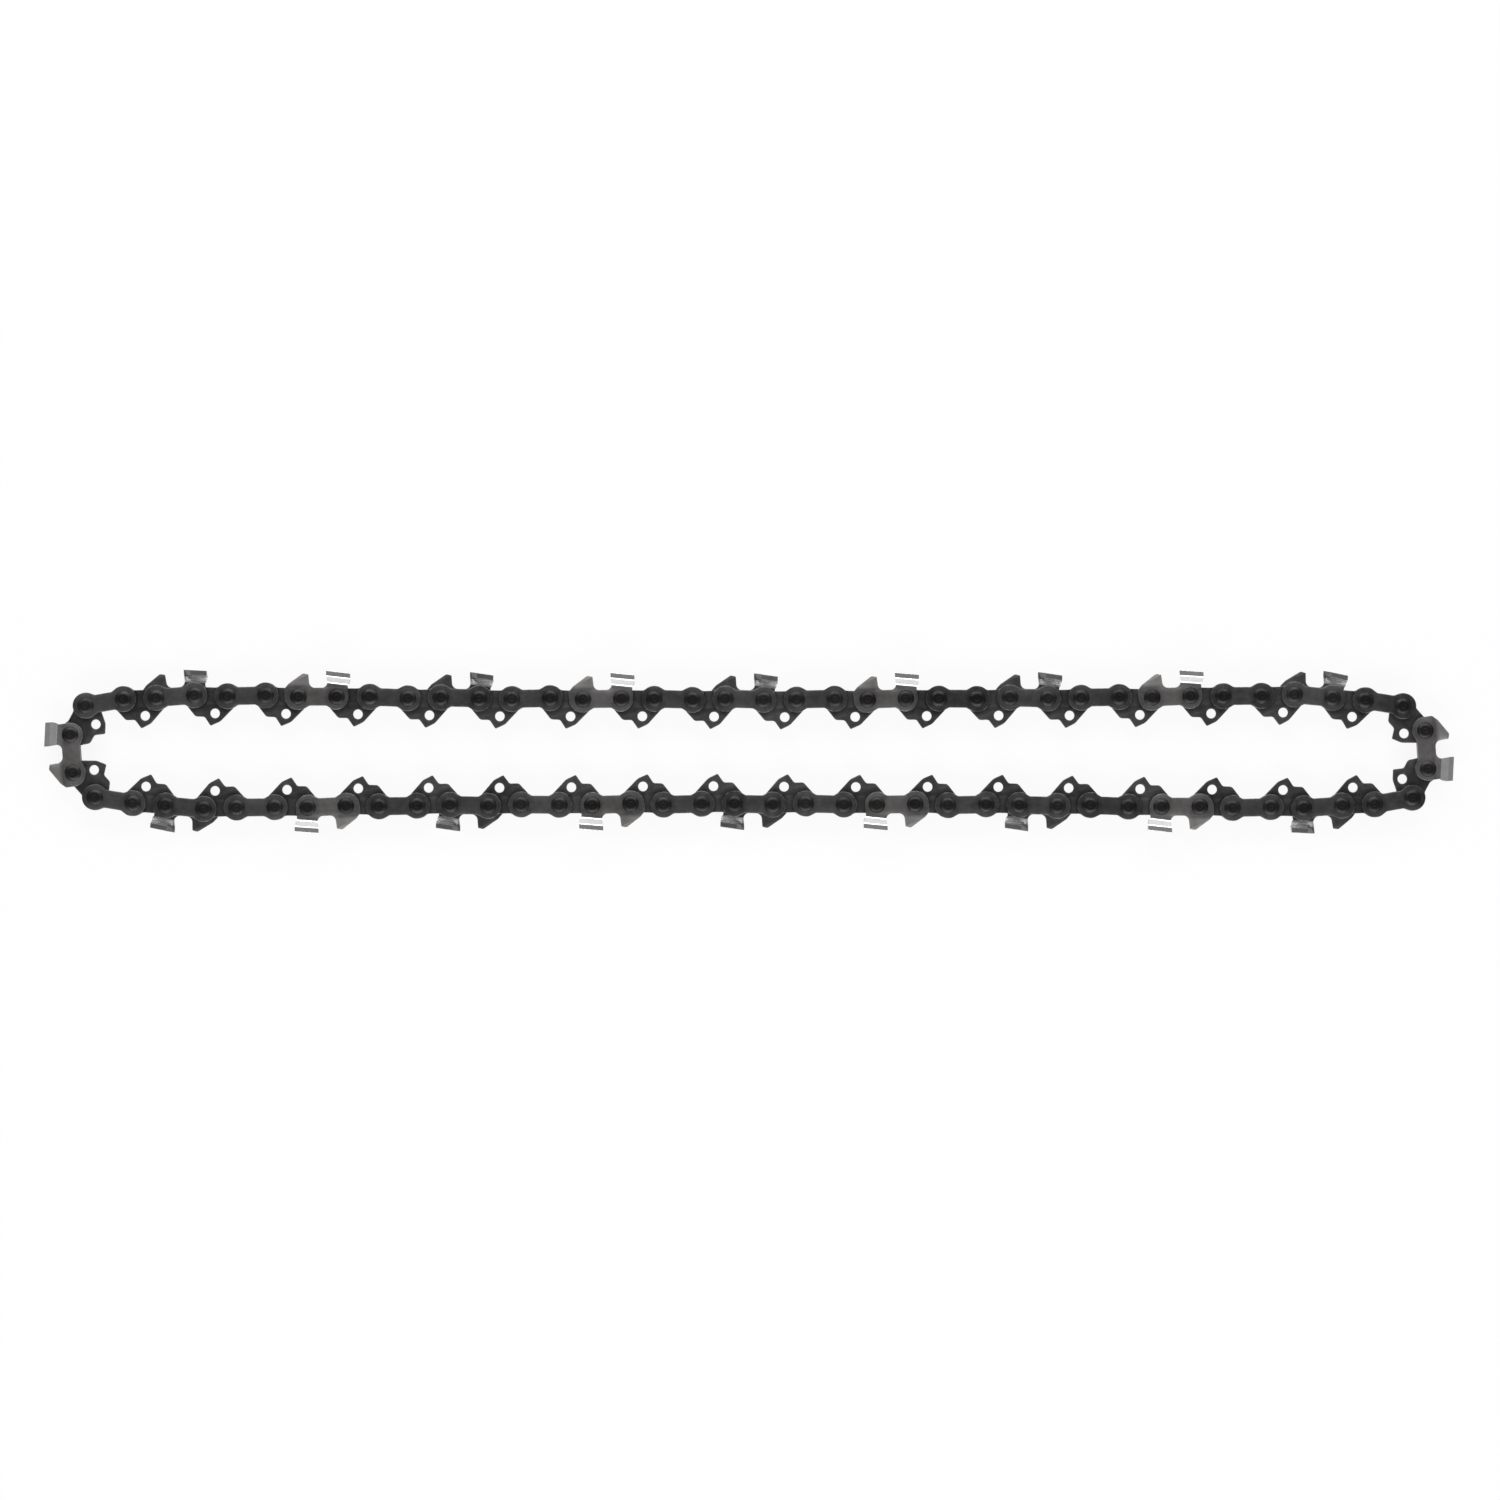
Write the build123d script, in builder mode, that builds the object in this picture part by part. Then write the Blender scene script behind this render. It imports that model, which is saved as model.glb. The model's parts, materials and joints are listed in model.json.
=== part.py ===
from build123d import *

import math
import os

# Low-profile saw chain riveted into a loop and lying on its side, in millimetres and degrees.
# The bars of the loop repeat in fours: cutter link, drive link, tie link, drive link.
# A bar is drawn with its first rivet at the origin, +X to its second rivet, +Y out of the loop
# and +Z up, and every left cutter is on the upper side of the chain, every right one on the lower.

# Chain size
drive_link_count = 40
pitch = 9.32
drive_gap = 8.6
gauge = 1.27
plate = 1.1
kerf = 6.8

# Rivets: six-sided hubs between the plates, turning in six-sided holes wide enough to clear their corners
rivet_sides = 6
hub_radius = 1.9
pivot_play = 0.06
side_play = 0.06

# Drive link
ear_radius = 3.4
tang_depth = 7.9
tang_tip = 4.4
tang_back = 2.5
tang_back_rise = 1.2
heel_depth = 5.6
heel_start = 0.4
heel_end = 2.8
oil_hole_sides = 7
oil_hole_radius = 1.3
oil_hole_along = 5.5
oil_hole_below = 4.6

# Side plates
end_radius = 3.5
waist = 2.35
waist_start = 2.9

# Cutter, with heights above the rivet line and lengths behind the front rivet
ramp_foot = 3.75
ramp_foot_height = 2.0
ramp_knee = 2.55
ramp_knee_height = 3.45
gauge_tip = 1.25
gauge_height = 6.2
gauge_back = 2.6
gauge_back_drop = 0.3
gullet_floor = 2.4
gullet_start = 2.95
gullet_end = 7.3
post_front = 7.6
post_rear = 12.9
post_height = 3.75
root_overlap = 0.2
tooth_front = 7.35
tooth_length = 6.25
tooth_height = 6.9
top_plate = 1.4
top_reach = 0.8
top_slope = 6.7
flare_rise = 1.75
face_angle = 25

# Lay of the loop: the way each bar points from the left end to the right over the upper run, which
# bows a little inwards. The lower run is the same turned half round, so that the loop always closes.
left_end_turn = (94, 62, 10, 2, 4)
right_end_turn = (-5, -4, -9, -48)
run_bow = 0.8
run_sway = 2.0
sway_step = 137.5

bar_count = 2 * drive_link_count
half_count = bar_count // 2
cutter_count = bar_count // 4
side_gap = 2 * pitch - drive_gap
plate_inside = gauge / 2 + side_play
plate_outside = plate_inside + plate
mid_height = kerf / 2
slope_ratio = math.tan(math.radians(top_slope))


def on_circle(x, radius, *angles):
    """Corners of a rounded end: points on a circle centred on the rivet line."""
    return [
        (x + radius * math.cos(math.radians(a)), radius * math.sin(math.radians(a)))
        for a in angles
    ]


def bar_direction(bar):
    """Angle of a bar from +X."""
    turns, place = divmod(bar, half_count)
    bow = -run_bow * math.cos(math.pi * place / half_count)
    angle = bow + run_sway * math.sin(math.radians(sway_step * place))
    if place < len(left_end_turn):
        angle = left_end_turn[place]
    if place >= half_count - len(right_end_turn):
        angle = right_end_turn[place - half_count]
    return angle + 180 * turns


def bar_frames():
    """Place of every bar's first rivet, with the middle of the loop over the origin."""
    steps = []
    for bar in range(bar_count):
        length = drive_gap if bar % 2 else side_gap
        steps.append(Vector(length, 0, 0).rotate(Axis.Z, bar_direction(bar)))
    point = sum(steps[:half_count], Vector(0, 0, 0)) * -0.5
    frames = []
    for bar, step in enumerate(steps):
        frames.append(Location((point.X, point.Y, mid_height), (0, 0, bar_direction(bar))))
        point += step
    return frames


# Drive link: two ears on the rivets, a hooked tang with its oil hole below them
drive_outline = [
    *on_circle(0, ear_radius, 225, 165, 105, 45),
    *on_circle(drive_gap, ear_radius, 135, 75, 15, -45),
    (tang_tip + tang_back, tang_back_rise - tang_depth),
    (tang_tip, -tang_depth),
    (heel_end, -heel_depth),
    (heel_start, -heel_depth),
]
with BuildPart() as drive_link:
    with BuildSketch(Plane.XY.offset(-gauge / 2)):
        with BuildLine():
            Polyline(*drive_outline, close=True)
        make_face()
        with Locations((0, 0), (drive_gap, 0)):
            RegularPolygon(hub_radius + pivot_play, rivet_sides, major_radius=False, mode=Mode.SUBTRACT)
        with Locations((oil_hole_along, -oil_hole_below)):
            RegularPolygon(oil_hole_radius, oil_hole_sides, mode=Mode.SUBTRACT)
    extrude(amount=gauge)

# Tie strap: a waisted plate, drawn as the lower one of a pair
strap_outline = [
    *on_circle(0, end_radius, 90, 150, 210, 270),
    (waist_start, -waist),
    (side_gap - waist_start, -waist),
    *on_circle(side_gap, end_radius, 270, 330, 30, 90),
    (side_gap - waist_start, waist),
    (waist_start, waist),
]
with BuildPart() as tie_strap:
    with BuildSketch(Plane.XY.offset(-plate_outside)):
        with BuildLine():
            Polyline(*strap_outline, close=True)
        make_face()
    extrude(amount=plate)

# Rivets: the pair of hubs that every side link has between its plates
with BuildPart() as hubs:
    with BuildSketch(Plane.XY.offset(-plate_inside)):
        with Locations((0, 0), (side_gap, 0)):
            RegularPolygon(hub_radius, rivet_sides)
    extrude(amount=2 * plate_inside)

# Tie link: two straps on two rivets
with BuildPart() as tie_link:
    add(hubs.part)
    add(tie_strap.part)
    mirror(tie_strap.part, about=Plane.XY)

# Tooth: a bent section that flares out to the side plate and folds over into the top plate.
# It is drawn across the chain and drawn back along the sloping top, and its face is then cut aslant.
side_outside = kerf / 2
side_inside = side_outside - plate
tooth_section = [
    (post_height - root_overlap, plate_inside),
    (post_height + flare_rise / 2, plate_inside),
    (tooth_height - top_plate, side_inside),
    (tooth_height - top_plate, -top_reach),
    (tooth_height, -top_reach),
    (tooth_height, side_outside),
    (post_height + flare_rise, side_outside),
    (post_height, plate_outside),
    (post_height - root_overlap, plate_outside),
]
section_plane = Plane(origin=(tooth_front, 0, 0), x_dir=(0, 1, 0), z_dir=(1, 0, 0))
face_plane = Plane(
    origin=(tooth_front, 0, side_outside),
    z_dir=(math.cos(math.radians(face_angle)), 0, math.sin(math.radians(face_angle))),
)
with BuildPart() as tooth:
    with BuildSketch(section_plane):
        with BuildLine():
            Polyline(*tooth_section, close=True)
        make_face()
    extrude(amount=tooth_length, dir=(1, -slope_ratio, 0))
    split(bisect_by=face_plane, keep=Keep.TOP)

# Cutter link: chassis with depth gauge and tooth on one side, a plain strap on the other, two rivets
chassis_outline = [
    (-ramp_knee, ramp_knee_height),
    (-ramp_foot, ramp_foot_height),
    *on_circle(0, end_radius, 210, 270),
    (waist_start, -waist),
    (side_gap - waist_start, -waist),
    *on_circle(side_gap, end_radius, 270, 330),
    (post_rear, post_height - slope_ratio * (post_rear - post_front)),
    (post_front, post_height),
    (gullet_end, gullet_floor),
    (gullet_start, gullet_floor),
    (gauge_back, gauge_height - gauge_back_drop),
    (gauge_tip, gauge_height),
]
with BuildPart() as left_cutter:
    with BuildSketch(Plane.XY.offset(plate_inside)):
        with BuildLine():
            Polyline(*chassis_outline, close=True)
        make_face()
    extrude(amount=plate)
    add(tooth.part)
    add(hubs.part)
    add(tie_strap.part)

with BuildPart() as right_cutter:
    mirror(left_cutter.part, about=Plane.XY)

# The loop. The drive link riveted behind a cutter is held with it in one node.
os.makedirs("parts", exist_ok=True)
frames = bar_frames()
for cutter in range(cutter_count):
    first_bar = 4 * cutter
    number = f"{cutter // 2 + 1:02d}"
    hand = "right" if cutter % 2 else "left"
    with BuildPart() as cutter_node:
        with Locations(frames[first_bar]):
            add(right_cutter.part if cutter % 2 else left_cutter.part)
        with Locations(frames[first_bar + 1]):
            add(drive_link.part)
    cutter_node.part.label = f"{hand}_cutter_{number}"
    export_step(cutter_node.part, f"parts/{cutter_node.part.label}.step")

    with BuildPart() as tie_node:
        with Locations(frames[first_bar + 2]):
            add(tie_link.part)
    tie_node.part.label = f"tie_link_{cutter + 1:02d}"
    export_step(tie_node.part, f"parts/{tie_node.part.label}.step")

    with BuildPart() as drive_node:
        with Locations(frames[first_bar + 3]):
            add(drive_link.part)
    drive_node.part.label = f"drive_link_{cutter + 1:02d}"
    export_step(drive_node.part, f"parts/{drive_node.part.label}.step")
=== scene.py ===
"""Studio scene for a saw chain loop that lies on its side.

Links are stamped, bent and riveted as templates in millimetres. A Geometry Nodes tree sets them on
their rivets, one mesh for each moving body, and paints them in blackened, worn and plated steel.
The cutters carry painted light: a painted highlight and painted shade on the tooth, painted sheen
on the depth gauge and painted shade on the chassis's inner side.
"""

from __future__ import annotations

import json
import logging
import math
from dataclasses import dataclass, field
from enum import Enum
from typing import Any, Sequence

import bmesh
import bpy
from bpy.types import ID, Material, Mesh, MeshPolygon, NodeSocket, Object, World
from mathutils import Matrix, Vector

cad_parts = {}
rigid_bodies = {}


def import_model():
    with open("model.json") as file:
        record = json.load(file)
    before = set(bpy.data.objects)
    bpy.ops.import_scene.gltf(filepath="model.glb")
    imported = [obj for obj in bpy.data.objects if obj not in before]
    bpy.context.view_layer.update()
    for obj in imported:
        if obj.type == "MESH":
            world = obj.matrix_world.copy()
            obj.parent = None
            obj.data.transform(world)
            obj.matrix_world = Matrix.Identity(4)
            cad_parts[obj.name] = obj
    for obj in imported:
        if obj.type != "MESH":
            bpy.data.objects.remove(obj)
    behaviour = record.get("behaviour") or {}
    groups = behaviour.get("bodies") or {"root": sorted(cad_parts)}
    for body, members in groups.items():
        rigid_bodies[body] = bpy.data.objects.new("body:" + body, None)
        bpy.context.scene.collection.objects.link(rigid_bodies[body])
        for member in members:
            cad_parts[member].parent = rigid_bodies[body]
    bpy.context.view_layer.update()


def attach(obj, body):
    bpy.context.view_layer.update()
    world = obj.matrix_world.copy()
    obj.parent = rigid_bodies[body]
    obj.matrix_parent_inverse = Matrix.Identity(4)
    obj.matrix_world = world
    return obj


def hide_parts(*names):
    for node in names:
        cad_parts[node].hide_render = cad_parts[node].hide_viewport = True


LOG = logging.getLogger("chain_loop")
MM = 0.001
SEED_STEP = 7

# On the templates: lengths in millimetres from a link's first rivet, angles in degrees
SAME_POINT = 1e-4
TOOTH_FRONT = 7.35
TOP_SLOPE = 6.7

Point = tuple[float, float]
Corner = tuple[float, float, float]
Colour = tuple[float, float, float]
Settings = dict[str, Any]
Values = dict[str | int, Any]


class BarKind(Enum):
    """What a bar of the loop is; the bars repeat in this order."""

    CUTTER = 0
    DRIVE_BEHIND_CUTTER = 1
    TIE = 2
    DRIVE = 3


class Zone(Enum):
    """Parts of a link that take a finish of their own, by the face attribute that marks them."""

    CUTTER = "cutter_steel"
    PLATED = "plated_steel"
    # Inner side of the tooth: dark steel with a painted highlight over its upper part
    BRUSHED = "brushed_steel"
    GROUND = "ground_steel"
    RIVET = "rivet_steel"


@dataclass(frozen=True)
class ChainSizes:
    """Sizes that the links share, in millimetres."""

    drive_links: int = 40
    pitch: float = 9.32
    drive_gap: float = 8.6
    gauge: float = 1.27
    plate: float = 1.1
    kerf: float = 6.8
    side_play: float = 0.06
    hub_radius: float = 1.9
    pivot_play: float = 0.06

    @property
    def side_gap(self) -> float:
        """Rivet to rivet on a side link."""
        return 2 * self.pitch - self.drive_gap

    @property
    def plate_inside(self) -> float:
        """Height of a side plate's inner face above the middle of the chain."""
        return self.gauge / 2 + self.side_play

    @property
    def plate_outside(self) -> float:
        """Height of a side plate's outer face above the middle of the chain."""
        return self.plate_inside + self.plate


@dataclass(frozen=True)
class Bar:
    """One bar of the loop: its kind, its first rivet in millimetres and its turn in radians."""

    kind: BarKind
    start: Vector
    turn: float


@dataclass(frozen=True)
class LoopLayout:
    """How the loop lies: the way each bar points, in degrees, from the left end over the upper run.

    The run bows a little inwards, and the lower run is the same turned half round.
    """

    sizes: ChainSizes
    left_end_turn: tuple[float, ...] = (94, 62, 10, 2, 4)
    right_end_turn: tuple[float, ...] = (-5, -4, -9, -48)
    run_bow: float = 0.8
    run_sway: float = 2.0
    sway_step: float = 137.5

    def direction(self, index: int) -> float:
        """Angle of a bar from +X.

        Args:
            index: Number of the bar along the loop.

        Returns:
            The angle in radians.
        """
        half = self.sizes.drive_links
        turns, place = divmod(index, half)
        bow = -self.run_bow * math.cos(math.pi * place / half)
        angle = bow + self.run_sway * math.sin(math.radians(self.sway_step * place))
        if place < len(self.left_end_turn):
            angle = self.left_end_turn[place]
        if place >= half - len(self.right_end_turn):
            angle = self.right_end_turn[place - half]
        return math.radians(angle + 180 * turns)

    def bars(self) -> list[Bar]:
        """Places every bar, with the middle of the loop over the origin.

        Returns:
            The bars in order along the loop.
        """
        count = 2 * self.sizes.drive_links
        steps = []
        for index in range(count):
            length = self.sizes.drive_gap if index % 2 else self.sizes.side_gap
            angle = self.direction(index)
            steps.append(Vector((math.cos(angle), math.sin(angle), 0)) * length)
        point = sum(steps[: count // 2], Vector()) * -0.5
        point.z = self.sizes.kerf / 2
        bars = []
        for index, step in enumerate(steps):
            bars.append(Bar(BarKind(index % len(BarKind)), point.copy(), self.direction(index)))
            point = point + step
        return bars


def rounded(corners: Sequence[Corner], step: float = 12.0) -> list[Point]:
    """Rounds each corner of a closed outline by its own radius.

    Where two arcs need more than the side between them, both shrink to share it.

    Args:
        corners: Corners in order, each with its radius.
        step: Largest turn between two points of an arc, in degrees.

    Returns:
        The points of the rounded outline.
    """
    places = [Vector((x, y)) for x, y, _ in corners]
    sides = [place - places[index - 1] for index, place in enumerate(places)]
    turns = [math.atan2(a.cross(b), a.dot(b)) for a, b in zip(sides, sides[1:] + sides[:1])]
    reaches = [radius * math.tan(abs(turn) / 2) for (_, _, radius), turn in zip(corners, turns)]
    shares = []
    for index, side in enumerate(sides):
        wanted = reaches[index - 1] + reaches[index]
        shares.append(min(1.0, side.length / wanted) if wanted else 1.0)
    points: list[Point] = []
    for index, (place, side, turn) in enumerate(zip(places, sides, turns)):
        reach = reaches[index] * min(shares[index], shares[(index + 1) % len(sides)])
        if not reach:
            points.append((place.x, place.y))
            continue
        along = side.normalized()
        inwards = Vector((-along.y, along.x)) * math.copysign(1.0, turn)
        spoke = inwards * (-reach / math.tan(abs(turn) / 2))
        centre = place - along * reach - spoke
        count = max(1, math.ceil(abs(math.degrees(turn)) / step))
        for part in range(count + 1):
            turned = centre + Matrix.Rotation(turn * part / count, 2) @ spoke
            points.append((turned.x, turned.y))
    pairs = zip(points, points[-1:] + points[:-1])
    return [point for point, before in pairs if math.dist(point, before) > SAME_POINT]


def ring(centre: Point, radius: float, count: int) -> list[Point]:
    """Points of a round hole.

    Args:
        centre: Centre of the hole.
        radius: Radius of the hole.
        count: Number of points.

    Returns:
        The points in order.
    """
    x, y = centre
    angles = [math.tau * index / count for index in range(count)]
    return [(x + radius * math.cos(a), y + radius * math.sin(a)) for a in angles]


def evaluated_mesh(obj: Object) -> Mesh:
    """Mesh of an object as its modifiers or its curve give it; the object is removed.

    Args:
        obj: Object to read, already in the scene.

    Returns:
        A plain mesh, named like the object.
    """
    graph = bpy.context.evaluated_depsgraph_get()
    mesh = bpy.data.meshes.new_from_object(obj.evaluated_get(graph))
    mesh.name = obj.name
    bpy.data.batch_remove((obj, obj.data))
    return mesh


def in_scene(name: str, data: ID) -> Object:
    """New object in the scene.

    Args:
        name: Name of the object.
        data: Its mesh, curve, light or camera.

    Returns:
        The object.
    """
    obj = bpy.data.objects.new(name, data)
    bpy.context.scene.collection.objects.link(obj)
    return obj


def welded(mesh: Mesh) -> Mesh:
    """Merges a mesh's doubles and turns its faces outwards.

    Args:
        mesh: Mesh to mend in place.

    Returns:
        The same mesh.
    """
    work = bmesh.new()
    work.from_mesh(mesh)
    bmesh.ops.remove_doubles(work, verts=work.verts, dist=SAME_POINT)
    bmesh.ops.recalc_face_normals(work, faces=work.faces)
    work.to_mesh(mesh)
    work.free()
    return mesh


def stamped(
    name: str, loops: Sequence[Sequence[Point]], low: float, high: float, rim: float,
) -> Mesh:
    """Flat plate with rounded rims, cut to an outline with holes.

    Args:
        name: Name of the mesh.
        loops: The outline first, then the holes.
        low: Height of the lower face.
        high: Height of the upper face.
        rim: Radius of the rounded rims.

    Returns:
        A closed mesh.
    """
    curve = bpy.data.curves.new(name, "CURVE")
    curve.dimensions = "2D"
    curve.fill_mode = "BOTH"
    curve.extrude = (high - low) / 2 - rim
    curve.bevel_depth = rim
    curve.bevel_resolution = 1
    curve.offset = -rim
    for loop in loops:
        spline = curve.splines.new("POLY")
        spline.points.add(len(loop) - 1)
        for point, (x, y) in zip(spline.points, loop):
            point.co = (x, y, 0, 1)
        spline.use_cyclic_u = True
    mesh = evaluated_mesh(in_scene(name, curve))
    mesh.transform(Matrix.Translation((0, 0, (low + high) / 2)))
    return welded(mesh)


def joined(name: str, meshes: Sequence[Mesh]) -> Mesh:
    """One mesh that holds several closed shells; the meshes given are removed.

    Args:
        name: Name of the mesh.
        meshes: Meshes to join.

    Returns:
        The joined mesh.
    """
    work = bmesh.new()
    for mesh in meshes:
        work.from_mesh(mesh)
        bpy.data.meshes.remove(mesh)
    whole = bpy.data.meshes.new(name)
    work.to_mesh(whole)
    work.free()
    return whole


@dataclass(frozen=True)
class DriveLink:
    """Drive link: two ears on the rivets, a saddle between them, a hooked tang and its oil hole."""

    sizes: ChainSizes
    ear: float = 3.25
    saddle: float = 2.2
    saddle_start: float = 2.9
    crown_end: float = 0.8
    flank: float = -1.3
    tang_depth: float = 7.9
    tang_tip: float = 4.4
    tang_back: float = 2.5
    tang_back_rise: float = 1.2
    heel_depth: float = 5.6
    heel_start: float = 0.4
    heel_end: float = 2.8
    oil_hole: float = 1.25
    oil_hole_along: float = 5.5
    oil_hole_below: float = 4.6
    rim: float = 0.1
    heel_round: float = 1.2
    heel_end_round: float = 0.9
    flank_round: float = 2.6
    crown_round: float = 2.4
    saddle_round: float = 1.2
    tang_back_round: float = 2.4
    tang_tip_round: float = 0.35
    hub_hole_points: int = 24
    oil_hole_points: int = 28

    def outline(self) -> list[Point]:
        """Outline of the link, with its first rivet at the origin.

        Returns:
            The points in order.
        """
        gap = self.sizes.drive_gap
        ear = self.ear
        back = self.tang_tip + self.tang_back
        return rounded([
            (self.heel_start, -self.heel_depth, self.heel_round),
            (-ear, self.flank, self.flank_round),
            (-ear, ear, ear),
            (self.crown_end, ear, self.crown_round),
            (self.saddle_start, self.saddle, self.saddle_round),
            (gap - self.saddle_start, self.saddle, self.saddle_round),
            (gap - self.crown_end, ear, self.crown_round),
            (gap + ear, ear, ear),
            (gap + ear, self.flank, self.flank_round),
            (back, self.tang_back_rise - self.tang_depth, self.tang_back_round),
            (self.tang_tip, -self.tang_depth, self.tang_tip_round),
            (self.heel_end, -self.heel_depth, self.heel_end_round),
        ])

    def mesh(self) -> Mesh:
        """Closed mesh of the link.

        Returns:
            The mesh, in millimetres.
        """
        hub_hole = self.sizes.hub_radius + self.sizes.pivot_play
        oil_centre = (self.oil_hole_along, -self.oil_hole_below)
        loops = [
            self.outline(),
            ring((0, 0), hub_hole, self.hub_hole_points),
            ring((self.sizes.drive_gap, 0), hub_hole, self.hub_hole_points),
            ring(oil_centre, self.oil_hole, self.oil_hole_points),
        ]
        half = self.sizes.gauge / 2
        return stamped("drive_link", loops, -half, half, self.rim)


@dataclass(frozen=True)
class Strap:
    """Waisted side plate, drawn as the lower one of a pair."""

    sizes: ChainSizes
    end: float = 3.4
    end_flat: float = 0.9
    waist: float = 2.35
    waist_start: float = 2.75
    rim: float = 0.14
    end_round: float = 2.6
    waist_round: float = 1.0

    def lower_edge(self) -> list[Corner]:
        """Corners of the lower edge.

        Returns:
            The corners from the first rivet to the second.
        """
        gap = self.sizes.side_gap
        return [
            (self.end_flat, -self.end, self.end_round),
            (self.waist_start, -self.waist, self.waist_round),
            (gap - self.waist_start, -self.waist, self.waist_round),
            (gap - self.end_flat, -self.end, self.end_round),
        ]

    def outline(self) -> list[Point]:
        """Outline of the plate, with its first rivet at the origin.

        Returns:
            The points in order.
        """
        gap = self.sizes.side_gap
        upper_edge = [(x, -y, radius) for x, y, radius in reversed(self.lower_edge())]
        return rounded([
            (-self.end, self.end, self.end),
            (-self.end, -self.end, self.end),
            *self.lower_edge(),
            (gap + self.end, -self.end, self.end),
            (gap + self.end, self.end, self.end),
            *upper_edge,
        ])

    def mesh(self) -> Mesh:
        """Closed mesh of the plate, in millimetres."""
        low, high = -self.sizes.plate_outside, -self.sizes.plate_inside
        return stamped("strap", [self.outline()], low, high, self.rim)

    def pair(self) -> Mesh:
        """Both plates of a tie link.

        Returns:
            A mesh of two closed shells.
        """
        lift = self.sizes.plate_inside + self.sizes.plate_outside
        upper = self.mesh()
        upper.transform(Matrix.Translation((0, 0, lift)))
        return joined("tie_plates", [self.mesh(), upper])


@dataclass(frozen=True)
class Rivet:
    """Rivet: a hub between the plates and a low peened head, dimpled by the tool, on each side.

    The crown gives radius and drop below the top, from the dimple's rim outwards.
    """

    sizes: ChainSizes
    head_radius: float = 2.2
    head_height: float = 0.6
    dimple: float = 0.1
    dimple_radius: float = 0.45
    crown: tuple[Point, ...] = ((0.7, 0.01), (1.1, 0.03), (1.45, 0.13), (1.75, 0.26), (2.0, 0.42))
    edge_above: float = 0.01
    edge_below: float = 0.05
    neck_below: float = 0.3
    facets: int = 22

    def profile(self) -> list[Point]:
        """Upper half of the turned profile, from the middle out to the hub.

        Returns:
            Radius and height of each point.
        """
        seat = self.sizes.plate_outside
        top = seat + self.head_height
        return [
            (0.0, top - self.dimple),
            (self.dimple_radius, top - self.dimple),
            *((radius, top - drop) for radius, drop in self.crown),
            (self.head_radius, seat + self.edge_above),
            (self.head_radius, seat - self.edge_below),
            (self.sizes.hub_radius, seat - self.neck_below),
            (self.sizes.hub_radius, 0.0),
        ]

    def mesh(self) -> Mesh:
        """Closed mesh of the rivet.

        Returns:
            The mesh, in millimetres.
        """
        upper = self.profile()
        whole = upper + [(r, -z) for r, z in reversed(upper[:-1])]
        work = bmesh.new()
        verts = [work.verts.new((r, 0, z)) for r, z in whole]
        edges = [work.edges.new(pair) for pair in zip(verts, verts[1:])]
        bmesh.ops.spin(
            work, geom=verts + edges, axis=(0, 0, 1), cent=(0, 0, 0),
            angle=math.tau, steps=self.facets, use_merge=True,
        )
        mesh = bpy.data.meshes.new("rivet")
        work.to_mesh(mesh)
        work.free()
        return welded(mesh)


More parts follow.
